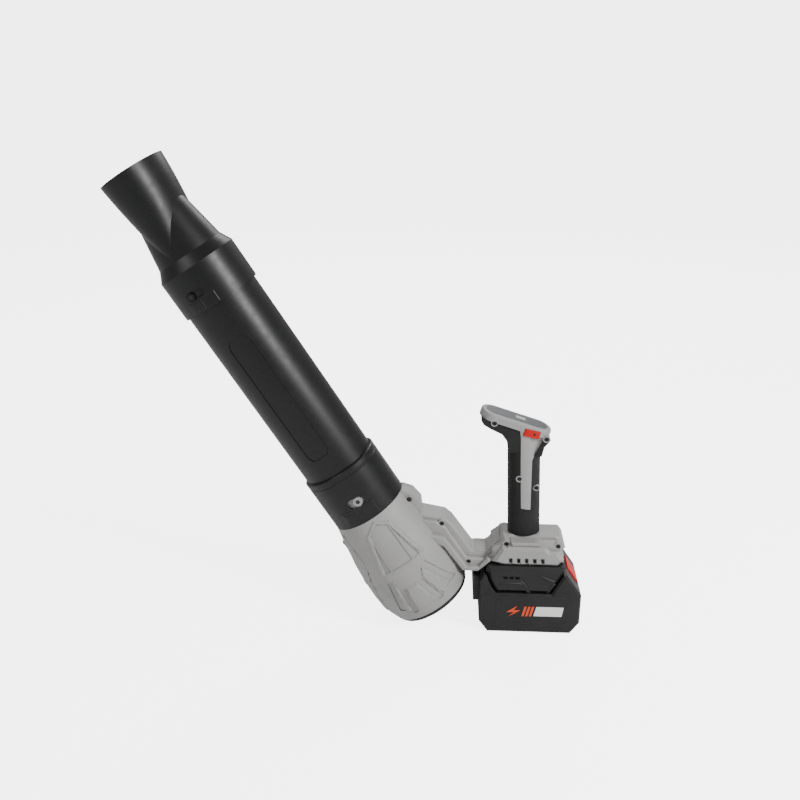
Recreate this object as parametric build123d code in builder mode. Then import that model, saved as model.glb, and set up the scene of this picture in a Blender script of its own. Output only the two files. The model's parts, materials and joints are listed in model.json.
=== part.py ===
from build123d import *
import os
from math import cos, radians, sin, sqrt

os.makedirs("parts", exist_ok=True)

# A cordless leaf blower. The fan barrel, the tube and the nozzle share one slanted axis; the arm carries
# the grip, and the grip stands on a foot that takes a slide-on battery.
# Millimetres. Origin: centre of the battery's bottom face. +X to the rear, +Z up, -Y is the left side.

# ---------------------------------------------------------------- driving dimensions
tube_tilt = 32.5            # lean of the blowing axis from the vertical, forwards
joint_x = -184.0            # where the blowing axis leaves the barrel and enters the tube
joint_z = 140.0
wall = 2.6                  # moulded housing wall
gap = 0.4                   # air between parts that move past each other

# stations along the blowing axis, measured from the joint; negative ones are in the barrel
rim_s = -131.5
guard_s = -137.0
spigot_s = 46.0
cuff_s = 63.0
collar_low_s = 284.0
collar_top_s = 328.0
cone_foot_s = 340.0
waist_s = 391.0
tip_s = 438.0

barrel_rim_r = 48.2
barrel_belly_r = 55.3
barrel_joint_r = 44.0
spigot_r = 41.2
cuff_r = 44.1
tube_r = 41.0
tube_wall = 2.2
collar_r = 43.7
cone_foot_r = 37.2
waist_r = 28.4

tube_peg_r = 5.2            # heads of the bayonet pegs that hold the tube
tube_peg_s = 25.4
tube_peg_across = 6.5       # how far the left peg sits from the axis, seen from the side
nozzle_peg_r = 4.0
nozzle_peg_s = 303.0
nozzle_peg_across = -12.5
fan_turn = -12.0            # turn of the flat of the nozzle about the blowing axis, degrees

battery_half_width = 37.5
battery_seam_z = 50.5
battery_top_z = 83.0
foot_low_z = battery_top_z + gap
foot_half_width = 31.0
arm_half_width = 26.0
grip_half_x = 18.0
grip_half_y = 15.5
head_tilt = 18.0
head_half_length = 40.0
head_half_width = 16.0

# ---------------------------------------------------------------- reference planes and axes
lean_sin = sin(radians(tube_tilt))
lean_cos = cos(radians(tube_tilt))
joint_point = (joint_x, 0, joint_z)
axis_dir = (-lean_sin, 0, lean_cos)
across_dir = (lean_cos, 0, lean_sin)
blow_axis = Axis(joint_point, axis_dir)
# in profile_plane, x is the distance from the blowing axis and y the station along it
profile_plane = Plane(origin=joint_point, x_dir=across_dir, z_dir=(0, -1, 0))
blow_plane = Plane(origin=joint_point, x_dir=across_dir, z_dir=axis_dir)


def station_plane(station):
    """The plane square to the blowing axis at a station."""
    return blow_plane.offset(station)


def outline(points, plane):
    """A closed straight-sided face on a plane."""
    with BuildSketch(plane) as sketch:
        with BuildLine():
            Polyline(*points, close=True)
        make_face()
    return sketch.sketch


def turned(points):
    """A solid turned round the blowing axis from a profile of (radius, station) points."""
    with BuildPart() as solid:
        revolve(outline(points, profile_plane), axis=blow_axis)
    return solid.part


def ring(inner_r, outer_r, low_s, high_s):
    """A plain ring on the blowing axis."""
    return turned([(inner_r, low_s), (outer_r, low_s), (outer_r, high_s), (inner_r, high_s)])


def rod(radius, low_s, high_s):
    """A plain round bar on the blowing axis."""
    with BuildPart() as solid:
        with BuildSketch(station_plane(low_s)):
            Circle(radius)
        extrude(amount=high_s - low_s)
    return solid.part


def prism(points, half_width, plane=Plane.XZ):
    """A side outline carried to the same width on both sides of the middle plane."""
    with BuildPart() as solid:
        extrude(outline(points, plane), amount=half_width, both=True)
    return solid.part


def side_pins(places, radius, inner_y, outer_y, plane=Plane.XZ):
    """Round pins square to the middle plane, on the left side, at (x, z) places of a plane."""
    with BuildPart() as solid:
        with BuildSketch(plane.offset(inner_y)):
            with Locations(*places):
                Circle(radius)
        extrude(amount=outer_y - inner_y)
    return solid.part


def mirrored_pair(solid):
    """A left-hand group of solids together with its right-hand twin."""
    with BuildPart() as pair:
        add(solid)
        mirror(solid, about=Plane.XZ)
    return pair.part


def half_turn_pair(solid):
    """A left-hand solid together with a copy turned half way round the blowing axis."""
    with BuildPart() as pair:
        add(solid)
        add(solid.rotate(blow_axis, 180))
    return pair.part


def save(part, name):
    part.label = name
    export_step(part, f"parts/{name}.step")


def save_halves(part, name):
    """Parts a symmetrical moulding at the middle plane into its left and right shells."""
    for side, kept in (("left", Keep.TOP), ("right", Keep.BOTTOM)):
        with BuildPart() as half:
            add(part)
            split(bisect_by=Plane.XZ, keep=kept)
        save(half.part, f"{name}_{side}")


# ---------------------------------------------------------------- route of the motor's leads
def lead(points, radius):
    """A round insulated lead that runs smoothly through the points."""
    with BuildPart() as solid:
        with BuildLine() as route:
            Spline(*points)
        start = Plane(origin=points[0], z_dir=route.wires()[0] % 0)
        with BuildSketch(start):
            Circle(radius)
        sweep(path=route.wires()[0])
    return solid.part


def on_side(across, station, y=0.0):
    """The point of the object at a distance across the blowing axis, a station along it and a depth."""
    point = profile_plane.from_local_coords(Vector(across, station, 0))
    return (point.X, y, point.Z)


motor_route = [on_side(16.6, -34.2), on_side(24, -34.3), on_side(36, -39.5), on_side(47, -43), (-112, 0, 120),
               (-97, 0, 112), (-80, 0, 90), (-66, 0, 83.5), (-54, 0, 84), (-45, 0, 89.2), (-38, 0, 95),
               (-27, 0, 97.2)]
lead_pitch = 3.4
lead_tunnel = lead(motor_route[:8], 5.4)


# ---------------------------------------------------------------- fan barrel
barrel_profile = [
    (barrel_joint_r, 0), (45.8, -10), (49.2, -31), (52.4, -50), (54.5, -71), (barrel_belly_r, -92),
    (54.9, -106), (52.4, -119), (barrel_rim_r, rim_s),
]
duct_profile = [(r - wall, s) for r, s in barrel_profile[1:]]
duct_solid_profile = [(0, -24), (42.0, -24), (46.6, -38), (50.4, -58), (52.2, -80), (52.2, -100), (49.5, -114),
                      (45.4, rim_s - 5), (0, rim_s - 5)]
barrel_screw_places = [(-44.0, -22), (-49.5, -72), (-49.0, -114), (46.5, -13)]
hex_floor = [(8.0, -8), (18.5, -14), (21.7, -62), (-4.0, -62), (-5.0, -16)]
left_wedge = [(-6.5, -22), (-5.6, -62), (-13.5, -62)]
right_wedge = [(20.6, -20), (23.4, -62), (30.4, -62)]
petal_grooves = [
    [(24, -74), (31, -71), (46, -113), (40, -114)],
    [(12, -87), (19.5, -87), (26, -121), (20, -122)],
    [(-10, -87), (-3.5, -87), (-7, -122), (-13, -122)],
    [(-18, -73), (-12, -74), (-19, -115), (-26, -113)],
]
groove_depth = 1.1
boss_r = 4.4
boss_reach = 13.0
screw_head_r = 2.7
screw_shank_r = 1.4
peg_shank_r = 2.2


def shrunk_barrel(depth):
    """The barrel's outside, set in by a depth, as a solid body."""
    inner = [(r - depth, s) for r, s in barrel_profile]
    return turned([(0, 0), *inner, (0, rim_s)])


with BuildPart() as barrel_relief:
    for shape in (hex_floor, left_wedge, right_wedge, *petal_grooves):
        extrude(outline(shape, profile_plane), amount=70, both=True)
    add(shrunk_barrel(groove_depth), mode=Mode.SUBTRACT)

tube_peg_hole = side_pins([(tube_peg_across, tube_peg_s)], peg_shank_r + 0.05, 30, 60, profile_plane)

with BuildPart() as barrel_solid:
    add(turned([*barrel_profile, *reversed(duct_profile), (barrel_joint_r - wall, 0)]))
    add(ring(spigot_r - 2.4, spigot_r, -9, spigot_s))
    add(ring(spigot_r - 2.4, barrel_joint_r - 0.5, -9, 0))
    # screw towers, cut back to leave the duct clear
    with BuildSketch(profile_plane):
        with Locations(*barrel_screw_places):
            Circle(boss_r)
    extrude(amount=boss_reach, both=True)
    add(turned(duct_solid_profile), mode=Mode.SUBTRACT)
    add(rod(spigot_r - 2.4, -26, spigot_s + 1), mode=Mode.SUBTRACT)
    add(side_pins(barrel_screw_places, screw_head_r + 0.3, 6.5, boss_reach + 1, profile_plane),
        mode=Mode.SUBTRACT)
    add(side_pins(barrel_screw_places, screw_shank_r + 0.05, -boss_reach - 1, 7, profile_plane),
        mode=Mode.SUBTRACT)
    add(barrel_relief.part, mode=Mode.SUBTRACT)
    add(half_turn_pair(tube_peg_hole), mode=Mode.SUBTRACT)
    # the window that the motor's leads leave by
    add(lead_tunnel, mode=Mode.SUBTRACT)
    # groove for the seal round the spigot
    add(ring(spigot_r - 1.3, spigot_r + 1, 39, 41.6), mode=Mode.SUBTRACT)
save_halves(barrel_solid.part, "barrel_shell")


def side_screws(places, head_y, tip_y, plane=Plane.XZ):
    """Pan-head screws driven from the left side: heads end at head_y, points at tip_y."""
    with BuildPart() as screws:
        add(side_pins(places, screw_head_r, head_y - 2.2, head_y, plane))
        add(side_pins(places, screw_shank_r, tip_y, head_y - 2.2, plane))
        with BuildSketch(plane.offset(head_y)):
            with Locations(*places):
                RegularPolygon(1.3, 6)
        extrude(amount=-1.2, mode=Mode.SUBTRACT)
    return screws.part


save(side_screws(barrel_screw_places, 8.75, -11, profile_plane), "barrel_screws")

# ---------------------------------------------------------------- air inlet guard
guard_ring_r = 45.4
with BuildPart() as inlet_guard:
    add(turned([(guard_ring_r, rim_s + 8), (guard_ring_r - 2, rim_s + 8), (guard_ring_r - 2, guard_s),
                (guard_ring_r - 0.4, guard_s), (46.6, guard_s + 2.2), (47.2, rim_s - 0.05),
                (guard_ring_r, rim_s - 0.05)]))
    for bar_r in (10, 17, 24, 31, 38):
        add(ring(bar_r - 0.9, bar_r + 0.9, guard_s + 1, guard_s + 3.6))
    add(rod(5, guard_s + 1, guard_s + 3.6))
    with BuildSketch(station_plane(guard_s + 1.2)):
        with PolarLocations(24, 12):
            Rectangle(40.5, 1.8)
    extrude(amount=2.2)
save(inlet_guard.part, "inlet_guard")

# ---------------------------------------------------------------- motor, mount and fan
mount_ring_low, mount_ring_high = -66.0, -33.5
motor_r = 20.0
stator_low, stator_high = -66.0, -36.0
shaft_r = 2.5
bearing_r = 8.0
fan_low, fan_high = -118.0, -92.0
fan_hub_r = 20.0
fan_tip_r = 46.5
fan_blades = 9
guide_vanes = 7


def blade_set(count, inner_r, outer_r, low_s, high_s, lean, thickness):
    """Flat blades that stand out from a hub, each turned about its own radius."""
    middle = (low_s + high_s) / 2
    height = (high_s - low_s) / cos(radians(lean))
    with BuildPart() as blades:
        with Locations(station_plane(middle).location):
            with PolarLocations(0, count, start_angle=180 / count):
                with Locations(Location(((inner_r + outer_r) / 2, 0, 0), (lean, 0, 0))):
                    Box(outer_r - inner_r, thickness, height)
    return blades.part


with BuildPart() as impeller:
    add(blade_set(fan_blades, fan_hub_r - 3, fan_tip_r + 3, fan_low, fan_high - 3, 42, 2.2))
    add(turned([(0, fan_low), (fan_tip_r, fan_low), (fan_tip_r, fan_high), (0, fan_high)]), mode=Mode.INTERSECT)
    add(turned([(6, fan_low - 4), (14, fan_low), (fan_hub_r, fan_low + 6), (fan_hub_r, fan_high),
                (fan_hub_r - 2, fan_high), (fan_hub_r - 2, fan_low + 7), (6, fan_low + 4)]))
    add(ring(shaft_r, 6.5, fan_low - 4, fan_high - 4))
save(impeller.part, "impeller")
save(ring(shaft_r, 5, fan_low - 9, fan_low - 4), "impeller_nut")

with BuildPart() as motor_shaft:
    add(rod(shaft_r, fan_low - 11, stator_high + 14))
save(motor_shaft.part, "motor_shaft")

with BuildPart() as motor_rotor:
    add(ring(shaft_r, 10.4, stator_low + 3, stator_high - 3))
save(motor_rotor.part, "motor_rotor")

with BuildPart() as motor_stator:
    add(ring(16.0, motor_r, stator_low, stator_high))
    with BuildSketch(station_plane(stator_low)):
        with PolarLocations(14.4, 6):
            Rectangle(5.6, 3.6)
        with PolarLocations(11.8, 6):
            Rectangle(1.8, 8.0)
    extrude(amount=stator_high - stator_low)
    add(rod(10.9, stator_low - 1, stator_high + 1), mode=Mode.SUBTRACT)
save(motor_stator.part, "motor_stator")

with BuildPart() as motor_windings:
    with BuildSketch(station_plane(stator_low - 2.5)):
        with PolarLocations(14.0, 6):
            with GridLocations(0, 5.7, 1, 2):
                Rectangle(2.2, 1.9)
    extrude(amount=stator_high - stator_low + 5)
save(motor_windings.part, "motor_windings")

bearing_running = shaft_r + 0.03
for name, low in (("fan_bearing", stator_low - 16), ("tail_bearing", stator_high + 6)):
    save(ring(bearing_running, bearing_r, low, low + 6), name)

cup_r = motor_r + 2.2
cup_low, cup_high = stator_low - 18, stator_high + 4
with BuildPart() as motor_mount:
    add(ring(motor_r, cup_r, cup_low, cup_high))
    # end wall with the seat of the fan-side bearing
    add(ring(bearing_r, cup_r, stator_low - 16, stator_low - 12))
    add(ring(bearing_r, bearing_r + 2, stator_low - 16, stator_low - 10))
    add(blade_set(guide_vanes, cup_r - 1, 50, mount_ring_low, mount_ring_high, -24, 2.0))
    add(turned([(motor_r, cup_low), (48.6, cup_low), (48.6, -58), (43.0, -34), (motor_r, -32)]),
        mode=Mode.INTERSECT)
    add(turned([(47.6, -50), (49.9, -64), (48.0, -64), (45.8, -50)]))
    add(lead_tunnel, mode=Mode.SUBTRACT)
save(motor_mount.part, "motor_mount")

with BuildPart() as tail_cone:
    add(turned([(bearing_r, cup_high + 1), (motor_r - 0.1, cup_high + 1), (motor_r - 0.1, cup_high + 0.05),
                (cup_r, cup_high + 0.05), (cup_r - 1, cup_high + 10),
                (16, cup_high + 28), (9, cup_high + 44), (0, cup_high + 49), (0, cup_high + 46),
                (7, cup_high + 41), (14, cup_high + 26), (bearing_r + 2, cup_high + 9),
                (bearing_r, cup_high + 8)]))
save(tail_cone.part, "tail_cone")

# ---------------------------------------------------------------- tube and its bayonet pegs
def peg(radius, across, station, seat_r, face_r):
    """A round-headed peg with a hexagon socket, on the left side."""
    depth_face = sqrt(face_r ** 2 - across ** 2)
    depth_seat = sqrt(seat_r ** 2 - (abs(across) + radius) ** 2)
    with BuildPart() as solid:
        add(side_pins([(across, station)], radius, seat_r - 1.0, depth_face, profile_plane))
        add(side_pins([(across, station)], peg_shank_r, depth_seat - 6, seat_r, profile_plane))
        with BuildSketch(profile_plane.offset(depth_face)):
            with Locations((across, station)):
                RegularPolygon(radius * 0.5, 6)
        extrude(amount=-2.0, mode=Mode.SUBTRACT)
        add(rod(seat_r + 0.02, station - 12, station + 12) - rod(1, station - 12, station + 12)
            - side_pins([(across, station)], peg_shank_r, 20, 60, profile_plane), mode=Mode.SUBTRACT)
    return solid.part


def bayonet_slot(across, station, radius, left_room, right_room):
    """The cutter of a bayonet slot on the left side, round-ended, with room for the peg to travel."""
    low = across - radius - left_room
    high = across + radius + right_room
    with BuildPart() as cutter:
        with BuildSketch(profile_plane.offset(25)):
            with Locations(((low + high) / 2, station)):
                SlotOverall(high - low, 2 * radius + 1.0)
        extrude(amount=30)
    return cutter.part


save(half_turn_pair(peg(tube_peg_r, tube_peg_across, tube_peg_s, spigot_r, cuff_r + 0.6)), "tube_lock_pegs")
save(ring(spigot_r - 1.2, spigot_r + 0.15, 39.1, 41.5), "tube_seal")

cuff_bore_r = spigot_r + gap
collar_bore_r = tube_r + gap
tube_slot = bayonet_slot(tube_peg_across, tube_peg_s, tube_peg_r, 6.4, 2.0)
tube_end_s = 329.0
flute_depth = 0.7
flute = [(-9, 88), (9, 88), (13, 94), (13, 236), (9, 244), (-9, 244), (-13, 236), (-13, 94)]
with BuildPart() as blower_tube:
    add(turned([
        (cuff_bore_r, gap), (cuff_r, gap), (cuff_r, 54), (cuff_r - 0.6, 55), (cuff_r - 0.6, 56), (cuff_r, 57),
        (cuff_r, cuff_s - 1), (cuff_r - 1, cuff_s), (tube_r, cuff_s + 0.5), (tube_r, tube_end_s),
        (tube_r - tube_wall, tube_end_s), (tube_r - tube_wall, spigot_s + 2), (cuff_bore_r, spigot_s + 1),
    ]))
    add(half_turn_pair(tube_slot), mode=Mode.SUBTRACT)
    # a long shallow flute down each side
    add(prism(flute, 60, profile_plane) - rod(tube_r - flute_depth, 80, 250), mode=Mode.SUBTRACT)
    nozzle_peg_hole = side_pins([(nozzle_peg_across, nozzle_peg_s)], peg_shank_r + 0.05, 25, 60, profile_plane)
    add(half_turn_pair(nozzle_peg_hole), mode=Mode.SUBTRACT)
save(blower_tube.part, "blower_tube")
save(half_turn_pair(peg(nozzle_peg_r, nozzle_peg_across, nozzle_peg_s, tube_r, collar_r + 0.4)),
     "nozzle_lock_pegs")

# ---------------------------------------------------------------- nozzle
nozzle_wall = 2.2
fan_sections = [(330.0, 12.0, 36.4), (waist_s, 28.4, 37.5), (tip_s, 33.4, 42.0)]


def fan_body(inset, overrun):
    """The flattened flaring part of the nozzle, as a solid set in from the outside."""
    with BuildPart() as solid:
        for index, (station, half_thick, half_wide) in enumerate(fan_sections):
            shift = overrun if index == len(fan_sections) - 1 else 0
            with BuildSketch(station_plane(station + shift)):
                with Locations(Location((0, 0, 0), (0, 0, 1), fan_turn)):
                    Ellipse(half_thick - inset, half_wide - inset)
        loft()
    return solid.part


with BuildPart() as nozzle:
    add(turned([(0, collar_low_s), (collar_r, collar_low_s), (collar_r, collar_top_s), (cone_foot_r, cone_foot_s),
                (waist_r, waist_s), (0, waist_s)]))
    add(fan_body(0, 0))
    add(turned([(0, collar_low_s - 1), (collar_bore_r, collar_low_s - 1), (collar_bore_r, tube_end_s + 1),
                (cone_foot_r - nozzle_wall, tube_end_s + 6), (waist_r - nozzle_wall, waist_s),
                (0, waist_s)]), mode=Mode.SUBTRACT)
    add(fan_body(nozzle_wall, 0.5), mode=Mode.SUBTRACT)
    nozzle_slot = bayonet_slot(nozzle_peg_across, nozzle_peg_s, nozzle_peg_r, 1.0, 12.5)
    add(half_turn_pair(nozzle_slot), mode=Mode.SUBTRACT)
save(nozzle.part, "nozzle")

# ---------------------------------------------------------------- handle: arm, foot, grip core and head
arm_outline = [
    (-145, 141), (-124, 137), (-97, 131.5), (-89.5, 125), (-66, 92), (-49.5, 91.5), (-34.5, 108), (-28, 100),
    (-28, 84), (-58, 75), (-76, 75), (-100, 100), (-145, 120),
]
arm_band = [
    (-145, 134), (-107, 130.5), (-97, 124), (-72, 86), (-50, 84.5), (-40, 96), (-40, 84), (-57, 75),
    (-75, 75), (-101, 112), (-145, 116),
]
arm_flange = [
    (-119, 118), (-98, 113.5), (-71.5, 77), (-58.5, 77), (-49, 88), (-41, 88), (-59, 71.5), (-76.6, 72),
    (-98.5, 101.5), (-112, 108),
]
foot_ridge = [(-38, foot_low_z), (-38, 104), (-31, 111), (-22, 112.5), (27, 112.5), (33, 110), (38, 101),
              (35, 97), (36, foot_low_z)]
foot_band = [(-44, foot_low_z), (-44, 99), (-31, 109.5), (33, 109), (37.5, 103), (33, 98), (36.5, 92),
             (36.5, foot_low_z)]
foot_cheek = [(-44, 87), (-31, foot_low_z), (29, foot_low_z), (36, 91), (28, 101), (20, 101), (15, 105.5),
              (-33, 105.5)]
foot_bar = [(-22, 105.5), (-23.5, 110), (10.5, 110), (9, 105.5)]
vent_count = 5
vent_pitch = 8.9
vent_first_x = -23.5
vent_z = 89.6

grip_foot = (-8.0, 0, 110.0)
grip_lean = Vector(-4.5, 0, 108).normalized()
grip_plane = Plane(origin=grip_foot, x_dir=(1, 0, 4.5 / 108), z_dir=grip_lean)
grip_low, grip_high = 3.0, 122.0
rubber = 3.2
stripe = [(-13.5, 147), (-3, 145.5), (-4, 205), (6.5, 228), (13, 236), (-20, 246), (-17.5, 232), (-16, 195)]
front_pad = [(-60.5, 262), (-60.5, 250), (-57.5, 245.5), (-50, 241), (-38, 235), (-32, 227), (-30.2, 214), (-12, 214),
             (-12, 250)]
rear_pad = [(16.5, 232), (13, 226.5), (8.5, 221), (6, 210), (-12, 210), (-12, 240), (10, 240)]

head_sin = sin(radians(head_tilt))
head_cos = cos(radians(head_tilt))
head_plane = Plane(origin=(-21.5, 0, 250), x_dir=(head_cos, 0, -head_sin), z_dir=(head_sin, 0, head_cos))
head_up = Axis(head_plane.origin, head_plane.z_dir)
bezel_depth = 8.5
panel_half_length, panel_half_width = 35.0, 10.8

# each screw: its place seen from the side, and how far from the middle its face stands
arm_screw_places = [((-101, 128), 20.0), ((-70, 81), 20.0)]
foot_screw_places = [((-28.5, 107.0), 25.0), ((29.0, 105.5), 25.0)]
grip_screw_places = [((-17, 183), 15.4), ((2.5, 171), 11.8)]
head_screw_places = [((-46.5, 248), 15.2), ((10.0, 230.5), 15.2)]
counterbore = 4.0
ring_r = 3.7

rail_neck, rail_head = 20.0, 23.5
rail_neck_z, rail_top_z = 86.6, 91.0
rail_front_x, rail_rear_x = -30.0, 34.0

lid_clearance = [(-51.2, 60), (-51.2, 79.2), (-47.4, foot_low_z), (60, foot_low_z), (60, 60)]

button_centre = (-6.0, 237.0)
button_length, button_height, button_tilt = 17.0, 8.6, -13.0
button_left, button_right = 16.7, 13.4


def grip_column(half_x, half_y, low, high):
    """An oval column along the leaning grip."""
    with BuildPart() as solid:
        with BuildSketch(grip_plane.offset(low)):
            Ellipse(half_x, half_y)
        extrude(amount=high - low)
    return solid.part


def head_slab(half_length, half_width, corner, low, high):
    """A round-ended slab parallel to the head's top face."""
    with BuildPart() as solid:
        with BuildSketch(head_plane.offset(low)):
            RectangleRounded(2 * half_length, 2 * half_width, corner)
        extrude(amount=high - low)
    return solid.part


def bevelled(points, half_width, bevel):
    """A side outline as a plate with its two outer rims bevelled."""
    with BuildPart() as solid:
        extrude(outline(points, Plane.XZ), amount=half_width - bevel, both=True)
        for plane in (Plane.XZ, Plane.XZ.rotated((0, 0, 180))):
            flipped = [(x if plane.x_dir.X > 0 else -x, z) for x, z in points]
            rim = outline(flipped, plane.offset(half_width - bevel))
            extrude(rim, amount=bevel, taper=45)
    return solid.part


def inset_prism(points, depth, half_width):
    """A side outline set in by a depth all round, carried to both sides."""
    with BuildPart() as solid:
        with BuildSketch(Plane.XZ):
            with BuildLine():
                Polyline(*points, close=True)
            make_face()
            offset(amount=-depth, kind=Kind.INTERSECTION, mode=Mode.REPLACE)
        extrude(amount=half_width, both=True)
    return solid.part


def button_slab(grow, left, right):
    """The slide switch's slab: square to the middle plane, from the left end to the right end."""
    with BuildPart() as solid:
        with BuildSketch(Plane.XZ.offset(-right)):
            with Locations(Location((button_centre[0], button_centre[1], 0), (0, 0, 1), button_tilt)):
                RectangleRounded(button_length + 2 * grow, button_height + 2 * grow, 1.0)
        extrude(amount=left + right)
    return solid.part


# the oval envelope that stripe and rubber share, and the head above it
with BuildPart() as stripe_solid:
    add(prism(stripe, 20))
    add(grip_column(grip_half_x - 0.1, grip_half_y - 0.1, grip_low, grip_high + 20), mode=Mode.INTERSECT)

with BuildPart() as head_shape:
    add(head_slab(head_half_length, head_half_width, 15, -bezel_depth, 0))
    fillet(head_shape.faces().sort_by(head_up)[-1].edges(), 2.4)

with BuildPart() as handle_solid:
    add(bevelled(arm_outline, 15.5, 1.5))
    add(bevelled(arm_band, 20.0, 1.8))
    add(bevelled(arm_flange, arm_half_width, 1.6))
    add(bevelled(foot_ridge, 14.0, 2.0))
    add(bevelled(foot_band, 25.0, 4.0))
    add(bevelled(foot_cheek, foot_half_width, 3.2))
    add(bevelled(foot_bar, 27.0, 1.0))
    add(grip_column(grip_half_x - rubber, grip_half_y - rubber, -4, grip_high))
    add(stripe_solid.part)
    add(inset_prism(front_pad, 3.0, 11.5))
    add(inset_prism(rear_pad, 3.0, 11.5))
    add(head_shape.part)
    # rings round the grip's and the head's screws, flush with the rubber
    for place, face_y in (*grip_screw_places, *head_screw_places):
        add(side_pins([place], ring_r, -face_y, face_y))

with BuildPart() as handle_hollow:
    add(inset_prism(arm_outline, wall, 12.5))
    add(inset_prism([(-44, 80), (-44, 98), (-31, 107), (26, 107), (30, 98), (30, 80)], wall, 21.5))
    add(prism([(-60, 78), (-60, 88), (-36, 104), (-30, 92)], 12.5))
    add(grip_column(12.2, 9.6, -8, 108))
    add(prism([(-14, 206), (-14, 231.6), (0, 231.6), (0, 206)], 8.6))
    add(head_slab(33, 9.5, 9, -14, -3.2))
    # the battery's rail channel, open below and to the rear
    add(prism([(-42, 80), (-42, rail_neck_z), (45, rail_neck_z), (45, 80)], rail_neck + gap))
    add(prism([(-42, rail_neck_z - gap), (-42, rail_top_z + gap), (45, rail_top_z + gap),
               (45, rail_neck_z - gap)], rail_head + gap))

floor_top_z = 93.4
with BuildPart() as rail_floor:
    add(prism([(-31, rail_top_z + gap), (-31, floor_top_z), (34, floor_top_z), (34, rail_top_z + gap)], 22))

barrel_clear = turned([(0, 8), (barrel_joint_r + 0.1, 8),
                       *[(r + 0.1, s) for r, s in barrel_profile], (0, rim_s)])
with BuildPart() as vent_cuts:
    with BuildSketch(Plane.XZ):
        for index in range(vent_count):
            with Locations((vent_first_x + index * vent_pitch, vent_z)):
                Trapezoid(4.6, 6.6, 100, 88)
    extrude(amount=40, both=True)
    add(prism([(-60, 80), (-60, 100), (60, 100), (60, 80)], 24.2), mode=Mode.SUBTRACT)

with BuildPart() as handle_shape:
    add(handle_solid.part)
    add(handle_hollow.part, mode=Mode.SUBTRACT)
    add(rail_floor.part)
    add(barrel_clear, mode=Mode.SUBTRACT)
    add(vent_cuts.part, mode=Mode.SUBTRACT)
    add(head_slab(panel_half_length, panel_half_width, 10.5, -2.0, 1), mode=Mode.SUBTRACT)
    add(button_slab(0.35, 30, 30), mode=Mode.SUBTRACT)
    for place, face_y in (*arm_screw_places, *foot_screw_places):
        add(side_pins([place], 4.4, -face_y + 6, face_y - 1))
    for place, face_y in (*arm_screw_places, *foot_screw_places, *grip_screw_places, *head_screw_places):
        add(side_pins([place], screw_head_r + 0.1, face_y - counterbore, face_y + 8), mode=Mode.SUBTRACT)
        add(side_pins([place], screw_shank_r + 0.05, 6 - face_y, face_y - 3), mode=Mode.SUBTRACT)
    # room for the motor's leads, and air over the battery's lid
    add(lead_tunnel, mode=Mode.SUBTRACT)
    add(prism(lid_clearance, 40), mode=Mode.SUBTRACT)
save_halves(handle_shape.part, "handle_shell")

for name, screws in (("arm_screws", arm_screw_places), ("foot_screws", foot_screw_places),
                     ("grip_screws", grip_screw_places), ("head_screws", head_screw_places)):
    with BuildPart() as screw_group:
        for place, face_y in screws:
            add(side_screws([place], face_y - counterbore + 2.25, 8 - face_y))
    save(screw_group.part, name)

with BuildPart() as grip_cover:
    add(grip_column(grip_half_x, grip_half_y, grip_low, 112))
    add(inset_prism(front_pad, 0, 14.5))
    add(inset_prism(rear_pad, 0, 14.5))
    add(grip_column(grip_half_x - rubber + 0.05, grip_half_y - rubber + 0.05, -5, 140), mode=Mode.SUBTRACT)
    add(inset_prism(stripe, -0.1, 30), mode=Mode.SUBTRACT)
    add(inset_prism(front_pad, 2.95, 11.55), mode=Mode.SUBTRACT)
    add(inset_prism(rear_pad, 2.95, 11.55), mode=Mode.SUBTRACT)
    add(head_slab(head_half_length + 5, head_half_width + 5, 15, -bezel_depth - 0.05, 10), mode=Mode.SUBTRACT)
    for place, face_y in (*grip_screw_places, *head_screw_places):
        add(side_pins([place], ring_r + 0.05, -30, 30), mode=Mode.SUBTRACT)
    add(prism([(-60, 80), (-60, 112.55), (60, 112.55), (60, 80)], 40), mode=Mode.SUBTRACT)
save_halves(grip_cover.part, "grip_cover")

with BuildPart() as top_panel:
    add(head_slab(panel_half_length - 0.1, panel_half_width - 0.1, 10.4, -1.95, 0.4))
    fillet(top_panel.faces().sort_by(head_up)[-1].edges(), 0.5)
    with BuildSketch(head_plane.offset(-0.1)):
        with Locations((4, 0)):
            Rectangle(11.2, 7.2)
    extrude(amount=2, mode=Mode.SUBTRACT)
save(top_panel.part, "top_panel")

with BuildPart() as top_badge:
    with BuildSketch(head_plane.offset(-0.08)):
        with Locations((4, 0)):
            RectangleRounded(11.0, 7.0, 0.8)
    extrude(amount=0.75)
save(top_badge.part, "top_badge")

with BuildPart() as switch_button:
    add(button_slab(0, button_left, button_right))
    chamfer(switch_button.faces().sort_by(Axis.Y)[0].edges(), 0.6)
    chamfer(switch_button.faces().sort_by(Axis.Y)[-1].edges(), 0.6)
save(switch_button.part, "switch_button")

# ---------------------------------------------------------------- electrics in the handle
with BuildPart() as switch_module:
    with BuildSketch(Plane.XZ.offset(-8)):
        with Locations((-7.2, 217.5)):
            RectangleRounded(12, 20, 1)
    extrude(amount=16)
    with BuildSketch(Plane.XZ.offset(-3)):
        with Locations((-8.5, 228.5)):
            Rectangle(3, 3)
    extrude(amount=6)
save(switch_module.part, "switch_module")

board_low = 94.4
with BuildPart() as controller_board:
    with BuildSketch(Plane.XY.offset(board_low)):
        with Locations((0, 0)):
            Rectangle(44, 30)
    extrude(amount=1.6)
    with BuildSketch(Plane.XY.offset(board_low + 1.6)):
        with Locations((-16, -9), (-16, 9)):
            Circle(3.2)
    extrude(amount=5)
    with BuildSketch(Plane.XY.offset(board_low + 1.6)):
        with GridLocations(7, 20, 4, 2):
            Rectangle(5, 6)
    extrude(amount=2.0)
save(controller_board.part, "controller_board")

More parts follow.
